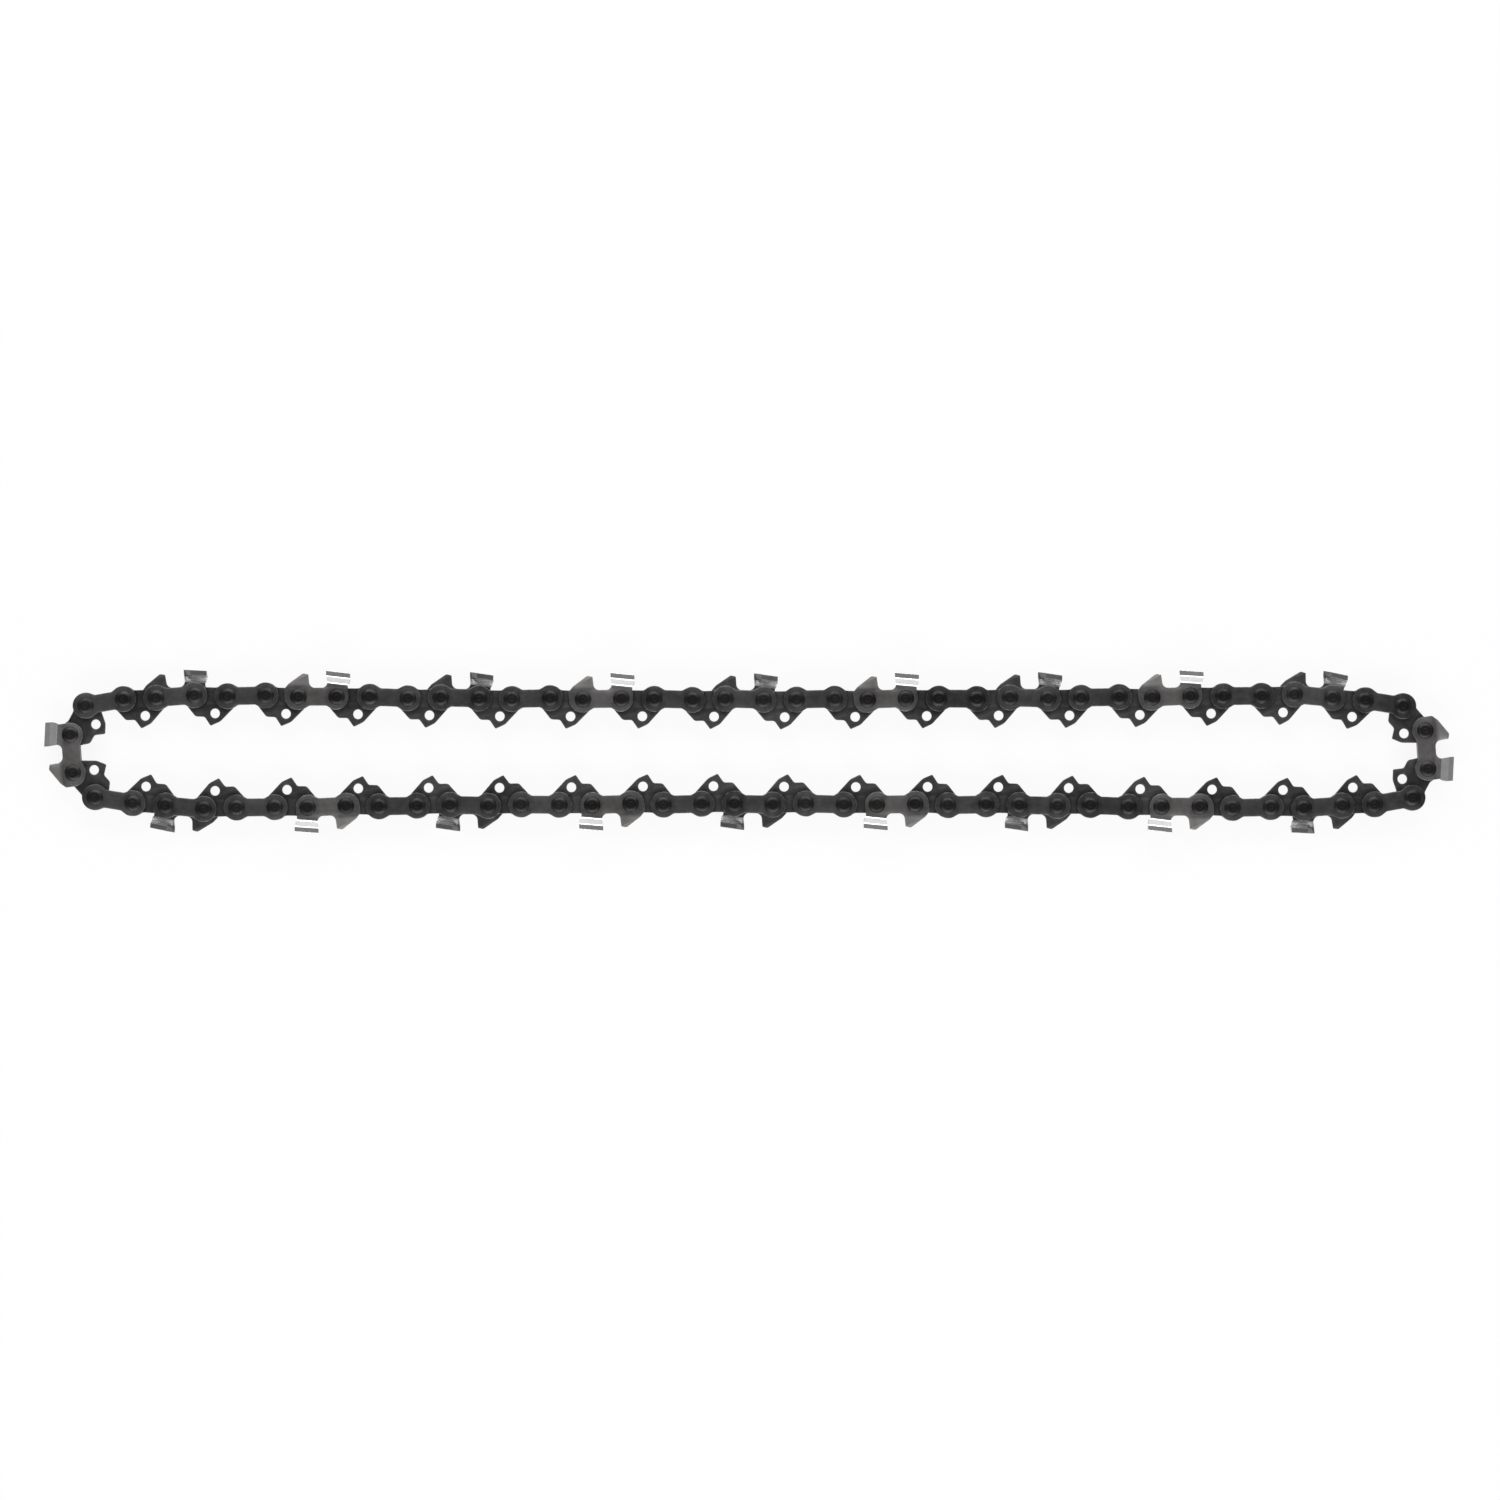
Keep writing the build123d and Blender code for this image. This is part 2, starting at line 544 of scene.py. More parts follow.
@dataclass(frozen=True)
class Cutter:
    """Left-hand cutter: chassis, depth gauge, and a tooth bent out and over into the top plate.

    The facings say how far a face has to look one way to take a finish: a share of its normal.
    """

    sizes: ChainSizes
    strap: Strap
    ramp_foot: float = 3.75
    ramp_foot_height: float = 2.0
    ramp_knee: float = 2.55
    ramp_knee_height: float = 3.45
    gauge_tip: float = 1.25
    gauge_height: float = 6.2
    gauge_back: float = 2.6
    gauge_back_drop: float = 0.3
    gullet_floor: float = 2.4
    gullet_start: float = 2.95
    gullet_end: float = 7.3
    post_front: float = 7.6
    post_rear: float = 12.9
    post_height: float = 3.75
    tooth_root: float = 2.6
    tooth_front: float = TOOTH_FRONT
    tooth_length: float = 6.25
    tooth_height: float = 6.9
    top_plate: float = 1.4
    top_reach: float = 0.8
    top_slope: float = TOP_SLOPE
    flare_rise: float = 1.75
    inner_flare: float = 0.15
    inner_side: float = 1.5
    top_angle: float = 25.0
    side_angle: float = 8.5
    heel_lean: float = 0.6
    corner_round: float = 0.15
    inner_round: float = 0.3
    lower_bend: float = 1.2
    upper_bend: float = 0.8
    sink: float = 0.02
    rim: float = 0.12
    knee_round: float = 1.2
    foot_round: float = 0.7
    post_rear_round: float = 0.3
    post_front_round: float = 0.25
    gullet_round: float = 1.5
    gauge_back_round: float = 0.3
    gauge_tip_round: float = 0.9
    edge_round: float = 0.12
    mark_margin: float = 0.05
    ground_facing: float = 0.8
    inner_facing: float = 0.3
    under_facing: float = 0.9
    back_facing: float = 0.5

    @property
    def slope(self) -> float:
        """Fall of the top plate for each millimetre back from its edge."""
        return math.tan(math.radians(self.top_slope))

    @property
    def under(self) -> float:
        """Height of the top plate's underside at its edge."""
        return self.tooth_height - self.top_plate

    def chassis(self) -> Mesh:
        """Closed mesh of the flat part, on the upper side of the chain.

        Returns:
            The mesh, in millimetres.
        """
        gap = self.sizes.side_gap
        end = self.strap.end
        post_fall = self.slope * (self.post_rear - self.post_front)
        outline = rounded([
            (-self.ramp_knee, self.ramp_knee_height, self.knee_round),
            (-self.ramp_foot, self.ramp_foot_height, self.foot_round),
            (-end, -end, end),
            *self.strap.lower_edge(),
            (gap + end, -end, end),
            (self.post_rear, self.post_height - post_fall, self.post_rear_round),
            (self.post_front, self.post_height, self.post_front_round),
            (self.gullet_end, self.gullet_floor, self.gullet_round),
            (self.gullet_start, self.gullet_floor, self.gullet_round),
            (self.gauge_back, self.gauge_height - self.gauge_back_drop, self.gauge_back_round),
            (self.gauge_tip, self.gauge_height, self.gauge_tip_round),
        ])
        low, high = self.sizes.plate_inside, self.sizes.plate_outside
        return stamped("chassis", [outline], low, high, self.rim)

    def section(self) -> list[Point]:
        """Section of the tooth across the chain.

        Returns:
            Height above the rivets and height off the middle of each point.
        """
        inside = self.sizes.plate_inside + self.sink
        outside = self.sizes.plate_outside - self.sink
        side = self.sizes.kerf / 2
        return rounded([
            (self.tooth_root, inside, 0.0),
            (self.post_height + self.inner_flare, inside, self.lower_bend),
            (self.under, side - self.inner_side, self.inner_round),
            (self.under, -self.top_reach, self.edge_round),
            (self.tooth_height, -self.top_reach, self.edge_round),
            (self.tooth_height, side, self.corner_round),
            (self.post_height + self.flare_rise, side, self.upper_bend),
            (self.post_height, outside, self.lower_bend),
            (self.tooth_root, outside, 0.0),
        ])

    def front(self, y: float, z: float) -> float:
        """Where the ground face lies: the side plate is filed less aslant than the top plate.

        Args:
            y: Height above the rivets.
            z: Height off the middle.

        Returns:
            Length behind the front rivet.
        """
        bend = self.under - self.post_height
        share = min(1.0, max(0.0, 2 * (y - self.under) / bend + 1))
        angle = self.side_angle + share * (self.top_angle - self.side_angle)
        return self.tooth_front + (self.sizes.kerf / 2 - z) * math.tan(math.radians(angle))

    def rear(self, y: float) -> float:
        """Where the tooth ends, with its heel leaning in to the post.

        Args:
            y: Height above the rivets.

        Returns:
            Length behind the front rivet.
        """
        below = max(0.0, self.post_height + self.flare_rise / 2 - y)
        return self.tooth_front + self.tooth_length - self.heel_lean * below

    def tooth(self) -> Mesh:
        """Closed mesh of the tooth: its section drawn back down the slope, with a slanting face.

        Returns:
            The mesh, in millimetres.
        """
        section = self.section()
        work = bmesh.new()
        front_ring, rear_ring = [], []
        for y, z in section:
            for ring_verts, x in ((front_ring, self.front(y, z)), (rear_ring, self.rear(y))):
                ring_verts.append(work.verts.new((x, y - self.slope * (x - self.tooth_front), z)))
        for index in range(len(section)):
            front_side = (front_ring[index - 1], front_ring[index])
            work.faces.new((*front_side, rear_ring[index], rear_ring[index - 1]))
        work.faces.new(front_ring)
        work.faces.new(list(reversed(rear_ring)))
        mesh = bpy.data.meshes.new("tooth")
        work.to_mesh(mesh)
        work.free()
        return welded(mesh)

    def mesh(self) -> Mesh:
        """Chassis and tooth in one closed mesh, with the faces of each finish marked.

        Returns:
            The mesh, in millimetres.
        """
        body = in_scene("cutter", self.chassis())
        tooth = in_scene("cutter_tooth", self.tooth())
        union = body.modifiers.new("union", "BOOLEAN")
        union.operation = "UNION"
        union.solver = "EXACT"
        union.object = tooth
        whole = evaluated_mesh(body)
        bpy.data.batch_remove((tooth, tooth.data))
        self.mark(welded(whole))
        return whole

    def zone(self, face: MeshPolygon) -> Zone | None:
        """Finish of a face of the cutter.

        Args:
            face: A face of its mesh.

        Returns:
            The zone, or None on the inner side of the chassis, which keeps the dark link steel as
            painted shade.
        """
        level = face.center.y + self.slope * (face.center.x - self.tooth_front)
        lead = math.radians((self.top_angle + self.side_angle) / 2)
        forwards = face.normal.dot((-math.cos(lead), 0, -math.sin(lead)))
        above_post = level > self.post_height - self.mark_margin
        on_tooth = face.center.x > self.tooth_front and above_post
        inner = face.normal.z < -self.inner_facing or face.normal.y < -self.under_facing
        if on_tooth and forwards > self.ground_facing:
            return Zone.GROUND
        if on_tooth and face.center.z < -self.top_reach / 2:
            return Zone.CUTTER
        if on_tooth:
            # The tooth's inner side takes the steel with the painted highlight, its outer side the
            # plating
            return Zone.BRUSHED if inner else Zone.PLATED
        # The chassis's inner side keeps the dark link steel, a painted shade against the lighter
        # outer side
        return Zone.CUTTER if face.normal.z > -self.back_facing else None

    def mark(self, mesh: Mesh) -> None:
        """Marks the faces of each finish.

        Args:
            mesh: The cutter's mesh.
        """
        for zone in (Zone.CUTTER, Zone.PLATED, Zone.BRUSHED, Zone.GROUND):
            marks = mesh.attributes.new(zone.value, "BOOLEAN", "FACE")
            marks.data.foreach_set("value", [self.zone(face) is zone for face in mesh.polygons])

    def plates(self, right_hand: bool) -> Mesh:
        """Cutter with the plain strap that faces it.

        Args:
            right_hand: Whether the cutter is on the lower side.

        Returns:
            A mesh of two closed shells.
        """
        both = joined("cutter_plates", [self.mesh(), self.strap.mesh()])
        if right_hand:
            both.transform(Matrix.Scale(-1, 4, (0, 0, 1)))
            both.flip_normals()
        return both


def template(mesh: Mesh, smooth_angle: float = 38.0, rim_lean: Point = (0.2, 0.95)) -> Object:
    """Turns a mesh in millimetres into a template in metres, smooth across its rims.

    Its points keep their place on the link, in millimetres, for the finishes to read.

    Args:
        mesh: Mesh to use.
        smooth_angle: Edges sharper than this stay sharp, in degrees.
        rim_lean: Faces that look up or down by a share in this range are rims.

    Returns:
        The template, an object that isn't shown.
    """
    least, most = rim_lean
    rim = mesh.attributes.new("rim", "FLOAT", "FACE")
    for entry, face in zip(rim.data, mesh.polygons):
        entry.value = float(least < abs(face.normal.z) < most)
    place = mesh.attributes.new("place", "FLOAT_VECTOR", "POINT")
    for entry, vertex in zip(place.data, mesh.vertices):
        entry.vector = vertex.co
    mesh.transform(Matrix.Scale(MM, 4))
    mesh.polygons.foreach_set("use_smooth", [True] * len(mesh.polygons))
    mesh.set_sharp_from_angle(angle=math.radians(smooth_angle))
    obj = in_scene(mesh.name, mesh)
    obj.hide_render = True
    return obj


def socket(sockets: Any, key: str | int) -> Any:
    """Socket of a node by its identifier, its name or its place.

    Args:
        sockets: A node's inputs or outputs.
        key: What to look for.

    Returns:
        The socket.
    """
    for found in sockets:
        if found.identifier == key:
            return found
    return sockets[key]


def grey(level: float) -> Colour:
    """Colour of three equal channels."""
    return (level, level, level)


class Shade:
    """A shader value that takes part in Python expressions."""

    def __init__(self, graph: ShaderGraph, output: NodeSocket) -> None:
        """Keeps the graph and the socket that gives the value."""
        self.graph = graph
        self.output = output

    def math(self, operation: str, left: Any, right: Any) -> Shade:
        """Math node on two values."""
        return self.graph.node("ShaderNodeMath", {"operation": operation}, {0: left, 1: right})

    def __add__(self, other: Any) -> Shade:
        """Sum."""
        return self.math("ADD", self, other)

    __radd__ = __add__

    def __sub__(self, other: Any) -> Shade:
        """Difference."""
        return self.math("SUBTRACT", self, other)

    def __rsub__(self, other: Any) -> Shade:
        """Difference, the other way round."""
        return self.math("SUBTRACT", other, self)

    def __mul__(self, other: Any) -> Shade:
        """Product."""
        return self.math("MULTIPLY", self, other)

    def size(self) -> Shade:
        """Value without its sign."""
        return self.math("ABSOLUTE", self, 0.0)

    def between(self, low: float, high: float) -> Shade:
        """Smooth step over a range.

        Args:
            low: Where it is 0.
            high: Where it is 1.

        Returns:
            A value from 0 to 1.
        """
        settings = {"interpolation_type": "SMOOTHSTEP", "clamp": True}
        values = {"Value": self, "From Min": low, "From Max": high}
        return self.graph.node("ShaderNodeMapRange", settings, values)

    def blend(self, first: Any, second: Any) -> Shade:
        """Mix of two colours, by this value."""
        values = {"Factor_Float": self, "A_Color": first, "B_Color": second}
        return self.graph.node("ShaderNodeMix", {"data_type": "RGBA"}, values, "Result_Color")


class Graph:
    """Nodes of one tree."""

    tree: bpy.types.NodeTree

    def add(self, kind: str, settings: Settings, values: Values) -> bpy.types.Node:
        """Adds a node.

        Args:
            kind: Type of the node.
            settings: Properties of the node, which are set first.
            values: Values of its inputs, or what is linked to them; a list links several.

        Returns:
            The node.
        """
        added = self.tree.nodes.new(kind)
        for name, value in settings.items():
            setattr(added, name, value)
        for key, value in values.items():
            entry = socket(added.inputs, key)
            for item in value if isinstance(value, list) else [value]:
                source = item.output if isinstance(item, Shade) else item
                if isinstance(source, NodeSocket):
                    self.tree.links.new(source, entry)
                elif entry.type == "RGBA":
                    entry.default_value = (*source, 1.0)
                else:
                    entry.default_value = source
        return added


class ShaderGraph(Graph):
    """Nodes of one material or of the world."""

    def __init__(self, owner: Material | World) -> None:
        """Starts an empty tree on the owner."""
        owner.use_nodes = True
        self.tree = owner.node_tree
        self.tree.nodes.clear()

    def node(self, kind: str, settings: Settings, values: Values, output: str | int = 0) -> Shade:
        """Adds a node and gives one of its outputs, for use in expressions."""
        return Shade(self, socket(self.add(kind, settings, values).outputs, output))

    def noise(self, size: float, detail: float, rough: float) -> Shade:
        """Noise in the object's own space.

        Args:
            size: Size of its patches, in metres.
            detail: Octaves.
            rough: Weight of the finer octaves.

        Returns:
            A value about 0.5.
        """
        place = self.node("ShaderNodeTexCoord", {}, {}, "Object")
        values = {"Vector": place, "Scale": 1 / size, "Detail": detail, "Roughness": rough}
        return self.node("ShaderNodeTexNoise", {}, values, "Fac")

    def attribute(self, name: str, output: str = "Fac") -> Shade:
        """Value of a mesh attribute."""
        return self.node("ShaderNodeAttribute", {"attribute_name": name}, {}, output)

    def split(self, vector: Shade) -> tuple[Shade, ...]:
        """X, Y and Z of a vector."""
        values = {"Vector": vector}
        return tuple(self.node("ShaderNodeSeparateXYZ", {}, values, axis) for axis in "XYZ")

    def streaks(self, place: Shade, scale: Corner, batch: Shade, octaves: Point) -> Shade:
        """Fine lines along a link.

        Args:
            place: Place on the link, in millimetres.
            scale: Patches to the millimetre along, across and through the link.
            batch: What sets one link's lines apart from another's.
            octaves: Octaves and the weight of the finer ones.

        Returns:
            A value about 0.5.
        """
        detail, rough = octaves
        settings = {"operation": "MULTIPLY"}
        drawn = self.node("ShaderNodeVectorMath", settings, {0: place, 1: scale}, "Vector")
        values = {"Vector": drawn, "W": batch, "Scale": 1.0, "Detail": detail, "Roughness": rough}
        return self.node("ShaderNodeTexNoise", {"noise_dimensions": "4D"}, values, "Fac")

    def surface(self, shader: Shade, kind: str = "ShaderNodeOutputMaterial") -> None:
        """Ends the tree in a shader."""
        self.add(kind, {}, {"Surface": shader})


@dataclass(frozen=True)
class SteelPattern:
    """What the steels share: their noises, what makes up their tone, and where rubbing lightens
    links.

    A noise has a size in metres, octaves and the weight of the finer ones. A lightened spot begins
    or ends over a range in millimetres on the link; it is worn by rubbing, and on a cutter's depth
    gauge it is a painted sheen.
    """

    drift: Corner = (0.012, 4.0, 0.6)
    scuffs: Corner = (0.0016, 5.0, 0.7)
    specks: Corner = (0.00025, 2.0, 0.6)
    streak_octaves: Point = (3.0, 0.6)
    streak_scale: Corner = (0.15, 3.2, 0.5)
    streak_spread: float = 50.0
    tone_range: Point = (0.3, 0.7)
    mottle_range: Point = (0.35, 0.65)
    gloss_range: Point = (0.25, 0.75)
    drift_share: float = 0.2
    batch_share: float = 0.4
    mottle_share: float = 0.25
    streak_share: float = 0.15
    bump_depth: float = 0.00004
    waist_middle: float = 4.8
    waist_end: Point = (1.7, 3.4)
    plate_face: Point = (0.64, 0.68)
    gauge_end: Point = (4.0, 5.0)
    gauge_rise: Point = (2.4, 3.8)
    post_start: Point = (6.0, 7.0)
    post_rise: Point = (1.6, 2.4)
    tang_drop: Point = (3.3, 5.0)


@dataclass(frozen=True)
class SteelFinish:
    """Finish of a steel part: its tones, how evenly it shines, and how bright its rims are worn.

    The lifts give the share of the tone that is added on a plate's waist, a gauge, a post and a
    tang: rubbing, and on a cutter's depth gauge a painted sheen. Where there is a top tone, it sets
    in over a range of height and one of length; it paints light, a painted highlight on the tooth's
    inner side and painted shade on its ground face.
    """

    name: str
    dark: Colour
    light: Colour
    worn: Colour
    wear: float
    smooth: float
    rough: float
    bump: float = 0.25
    waist_lift: float = 0.0
    gauge_lift: float = 0.0
    post_lift: float = 0.0
    tang_lift: float = 0.0
    top_tone: Colour | None = None
    top_range: Point = (4.9, 5.3)
    top_along: Point = (6.0, 7.0)
    pattern: SteelPattern = SteelPattern()

    def rubbed(self, tone: Shade, along: Shade, across: Shade, off: Shade) -> Shade:
        """Tone of a link with what rubbing adds to it, and on a cutter's depth gauge a painted
        sheen.

        Args:
            tone: Tone before rubbing, from 0 to 1.
            along: Place along the link, in millimetres.
            across: Place across the link.
            off: Height off the middle of the chain.

        Returns:
            The tone with rubbing and painted sheen added.
        """
        spot = self.pattern
        waist = 1.0 - (along - spot.waist_middle).size().between(*spot.waist_end)
        waist = waist * off.size().between(*spot.plate_face)
        # On a cutter, the lift over this spot paints sheen on the depth gauge
        gauge = (1.0 - along.between(*spot.gauge_end)) * across.between(*spot.gauge_rise)
        post = along.between(*spot.post_start) * across.between(*spot.post_rise)
        tang = (0.0 - across).between(*spot.tang_drop)
        tone = tone * (1.0 - max(self.waist_lift, self.gauge_lift, self.post_lift, self.tang_lift))
        tone = tone + waist * self.waist_lift + gauge * self.gauge_lift
        return tone + post * self.post_lift + tang * self.tang_lift

    def material(self) -> Material:
        """Material with drifting tone, lines along the link, worn rims and a fine grain.

        Returns:
            The material.
        """
        material = bpy.data.materials.new(self.name)
        graph = ShaderGraph(material)
        share = self.pattern
        drift = graph.noise(*share.drift)
        specks = graph.noise(*share.specks)
        scuffs = graph.noise(*share.scuffs)
        batch = graph.attribute("batch")
        place = graph.attribute("place", "Vector")
        along, across, off = graph.split(place)
        spread = batch * share.streak_spread
        streaks = graph.streaks(place, share.streak_scale, spread, share.streak_octaves)
        streaks = streaks.between(*share.tone_range)
        mottle = scuffs.between(*share.mottle_range)
        tone = drift.between(*share.tone_range) * share.drift_share + batch * share.batch_share
        tone = tone + mottle * share.mottle_share + streaks * share.streak_share
        colour = self.rubbed(tone, along, across, off).blend(self.dark, self.light)
        # The top tone paints light: a painted highlight on the tooth's inner side, painted shade on
        # its ground face
        if self.top_tone:
            level = across + (along - TOOTH_FRONT) * math.tan(math.radians(TOP_SLOPE))
            top = level.between(*self.top_range) * along.between(*self.top_along)
            colour = top.blend(colour, self.top_tone)
        wear = graph.attribute("rim") * mottle * self.wear
        colour = wear.blend(colour, self.worn)
        half = (self.rough - self.smooth) / 2
        roughness = self.smooth + drift.between(*share.gloss_range) * half + scuffs * half
        height = (specks + scuffs) * 0.5
        values = {"Strength": self.bump, "Distance": share.bump_depth, "Height": height}
        normal = graph.node("ShaderNodeBump", {}, values, "Normal")
        values = {"Base Color": colour, "Roughness": roughness, "Metallic": 1.0, "Normal": normal}
        graph.surface(graph.node("ShaderNodeBsdfPrincipled", {}, values))
        return material


@dataclass(frozen=True)
class ChainFinishes:
    """The finishes of the chain: that of the links, and one for each zone, by the zone's name."""

    links: SteelFinish = SteelFinish(
        "blackened_steel",
        dark=(0.038, 0.037, 0.037), light=(0.149, 0.145, 0.145), worn=(0.26, 0.255, 0.255),
        wear=0.7, smooth=0.34, rough=0.52, waist_lift=0.22, gauge_lift=0.27, tang_lift=0.265,
    )
    # Cutter steel: its large gauge lift is a painted sheen on the depth gauge
    cutter: SteelFinish = SteelFinish(
        "cutter_steel",
        dark=(0.108, 0.104, 0.103), light=(0.468, 0.452, 0.447), worn=(0.38, 0.37, 0.365),
        wear=0.7, smooth=0.3, rough=0.45, waist_lift=0.17, gauge_lift=0.65, post_lift=0.22,
    )
    plated: SteelFinish = SteelFinish(
        "plated_steel", dark=grey(0.68), light=grey(0.8), worn=grey(0.85),
        wear=0.3, smooth=0.2, rough=0.3, bump=0.04,
    )
    # Inner side of the tooth: dark rough steel; its near-white top tone is a painted highlight on
    # the inner flare
    brushed: SteelFinish = SteelFinish(
        "brushed_steel", dark=grey(0.14), light=grey(0.2), worn=grey(0.2),
        wear=0.3, smooth=0.44, rough=0.56, bump=0.1,
        top_tone=grey(0.94), top_range=(3.9, 4.5), top_along=(7.6, 9.8),
    )
    # Ground face: its near-black top tone over the top plate is painted shade
    ground: SteelFinish = SteelFinish(
        "ground_steel", dark=grey(0.2), light=grey(0.28), worn=grey(0.28),
        wear=0.3, smooth=0.3, rough=0.42, bump=0.15, top_tone=grey(0.08),
    )
    rivet: SteelFinish = SteelFinish(
        "rivet_steel", dark=grey(0.02), light=(0.039, 0.038, 0.038), worn=grey(0.08),
        wear=0.3, smooth=0.36, rough=0.5,
    )


class NodeTree(Graph):
    """Geometry Nodes tree with named inputs, built node by node."""

    def __init__(self, name: str) -> None:
        """Starts a tree that takes and gives a geometry."""
        self.tree = bpy.data.node_groups.new(name, "GeometryNodeTree")
        interface = self.tree.interface
        interface.new_socket("Geometry", in_out="OUTPUT", socket_type="NodeSocketGeometry")
        self.identifiers: dict[str, str] = {}
        self.entry = self.tree.nodes.new("NodeGroupInput")
        self.add_input("Geometry", "NodeSocketGeometry")

    def add_input(self, name: str, kind: str) -> None:
        """Adds a named input to the tree."""
        item = self.tree.interface.new_socket(name, in_out="INPUT", socket_type=kind)
        self.identifiers[name] = item.identifier

    def given(self, name: str) -> NodeSocket:
        """Value of a named input."""
        return socket(self.entry.outputs, self.identifiers[name])

    def node(
        self, kind: str, settings: Settings, values: Values, output: str | int = 0,
    ) -> NodeSocket:
        """Adds a node and gives one of its outputs."""
        return socket(self.add(kind, settings, values).outputs, output)

    def named(self, name: str, kind: str = "BOOLEAN") -> NodeSocket:
        """Named attribute of the geometry."""
        settings = {"data_type": kind}
        return self.node("GeometryNodeInputNamedAttribute", settings, {"Name": name}, "Attribute")

    def finish(self, geometry: NodeSocket) -> None:
        """Ends the tree."""
        self.add("NodeGroupOutput", {}, {0: geometry})


@dataclass
class LinkSetter:
    """Geometry Nodes tree that sets a body's links on their rivets and paints them."""

    sizes: ChainSizes
    finishes: ChainFinishes
    nodes: NodeTree = field(init=False)

    def __post_init__(self) -> None:
        """Builds the tree."""
        self.nodes = NodeTree("links_on_rivets")
        for name in ("Side Plates", "Drive Link", "Rivet"):
            self.nodes.add_input(name, "NodeSocketObject")
        self.nodes.add_input("Rivet Gap", "NodeSocketFloat")
        self.nodes.add_input("Seed", "NodeSocketInt")
        side = self.on_bars("is_side", self.riveted(self.from_object("Side Plates")), 0)
        drive = self.on_bars("is_drive", self.from_object("Drive Link"), 1)
        both = self.nodes.node("GeometryNodeJoinGeometry", {}, {"Geometry": [side, drive]})
        solid = self.nodes.node("GeometryNodeRealizeInstances", {}, {"Geometry": both})
        self.nodes.finish(self.painted(solid))

    def from_object(self, name: str) -> NodeSocket:
        """Geometry of the template given to a named input."""
        values = {"Object": self.nodes.given(name), "As Instance": True}
        return self.nodes.node("GeometryNodeObjectInfo", {}, values, "Geometry")

    def riveted(self, plates: NodeSocket) -> NodeSocket:
        """Side plates with a rivet at each end.

        Args:
            plates: Geometry of the plates.

        Returns:
            Plates and rivets together.
        """
        along = self.nodes.node("ShaderNodeCombineXYZ", {}, {"X": self.nodes.given("Rivet Gap")})
        ends = self.nodes.node("GeometryNodeMeshLine", {}, {"Count": 2, "Offset": along})
        values = {"Points": ends, "Instance": self.from_object("Rivet")}
        rivets = self.nodes.node("GeometryNodeInstanceOnPoints", {}, values)
        return self.nodes.node("GeometryNodeJoinGeometry", {}, {"Geometry": [plates, rivets]})

    def on_bars(self, flag: str, link: NodeSocket, offset: int) -> NodeSocket:
        """Sets a link on the bars that a flag picks, turned as they point, with a tone of its own.

        Args:
            flag: Attribute of the bars that picks them.
            link: Geometry of the link.
            offset: What sets its tone apart from the other kind's.

        Returns:
            The instances.
        """
        nodes = self.nodes
        whole = nodes.node("GeometryNodeGeometryToInstance", {}, {"Geometry": link})
        euler = nodes.node("ShaderNodeCombineXYZ", {}, {"Z": nodes.named("turn", "FLOAT")})
        rotation = nodes.node("FunctionNodeEulerToRotation", {}, {"Euler": euler})
        values = {
            "Points": nodes.given("Geometry"), "Selection": nodes.named(flag),
            "Instance": whole, "Rotation": rotation,
        }
        placed = nodes.node("GeometryNodeInstanceOnPoints", {}, values)
        values = {0: nodes.given("Seed"), 1: float(offset)}
        seed = nodes.node("ShaderNodeMath", {"operation": "ADD"}, values)
        settings = {"data_type": "FLOAT"}
        tone = nodes.node("FunctionNodeRandomValue", settings, {"Seed": seed}, "Value_001")
        settings = {"data_type": "FLOAT", "domain": "INSTANCE"}
        values = {"Geometry": placed, "Name": "batch", "Value": tone}
        return nodes.node("GeometryNodeStoreNamedAttribute", settings, values)

    def painted(self, solid: NodeSocket) -> NodeSocket:
        """Gives each marked zone its steel.

        Args:
            solid: The realized links.

        Returns:
            The painted links.
        """
        values = {"Geometry": solid, "Material": self.finishes.links.material()}
        geometry = self.nodes.node("GeometryNodeSetMaterial", {}, values)
        for zone in Zone:
            finish: SteelFinish = getattr(self.finishes, zone.name.lower())
            marked = self.nodes.named(zone.value)
            values = {"Geometry": geometry, "Selection": marked, "Material": finish.material()}
            geometry = self.nodes.node("GeometryNodeSetMaterial", {}, values)
        return geometry

    def build(self, name: str, bars: Sequence[Bar], parts: dict[str, Object], seed: int) -> Object:
        """Makes the mesh of one body.

        Args:
            name: Name of the piece.
            bars: Bars that the body holds.
            parts: Templates, by the name of the tree's input.
            seed: Seed of the links' tones.

        Returns:
            A piece with a plain mesh.
        """
        points = bpy.data.meshes.new(name)
        points.from_pydata([bar.start * MM for bar in bars], [], [])
        sides = [bar.kind in (BarKind.CUTTER, BarKind.TIE) for bar in bars]
        marks = (
            ("turn", "FLOAT", [bar.turn for bar in bars]),
            ("is_side", "BOOLEAN", sides),
            ("is_drive", "BOOLEAN", [not side for side in sides]),
        )
        for label, kind, values in marks:
            points.attributes.new(label, kind, "POINT").data.foreach_set("value", values)
        holder = in_scene(name, points)
        modifier = holder.modifiers.new("links", "NODES")
        modifier.node_group = self.nodes.tree
        given: Settings = {**parts, "Rivet Gap": self.sizes.side_gap * MM, "Seed": seed}
        for label, value in given.items():
            modifier[self.nodes.identifiers[label]] = value
        return in_scene(name, evaluated_mesh(holder))


